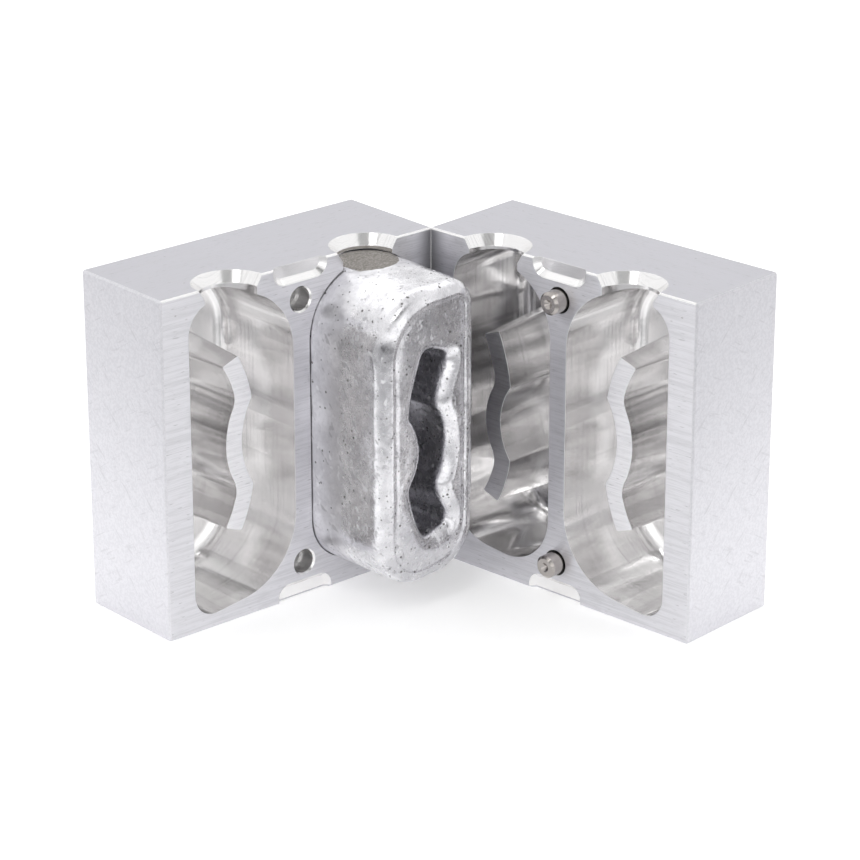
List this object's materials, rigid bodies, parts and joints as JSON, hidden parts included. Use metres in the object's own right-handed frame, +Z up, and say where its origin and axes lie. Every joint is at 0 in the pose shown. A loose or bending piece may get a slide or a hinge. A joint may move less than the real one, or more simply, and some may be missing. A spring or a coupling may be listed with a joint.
{
  "type": "fishing sinker mould",
  "caption": "Open aluminium block mould for casting slotted lead sinkers, with wavy cores, pouring funnels, locating dowels and a casting still in place.",
  "frame": {"origin": "on the ground plane, under the middle of the box around the open mould", "axes": "+Z up; the socket half's mating face looks along -Y, and the pin half stands swung open about the corner where the two blocks touch"},
  "size_m": [0.1698, 0.1573, 0.12],
  "materials": {
    "block_aluminium": "milled and brushed",
    "dowel_steel": "ground and polished",
    "cast_lead": "bright as cast lead"
  },
  "bodies": {
    "root": {"socket_half": "block_aluminium", "pin_half": "block_aluminium", "dowel_pin_lower": "dowel_steel", "dowel_pin_upper": "dowel_steel", "cast_sinker": "cast_lead"}
  },
  "joints": []
}
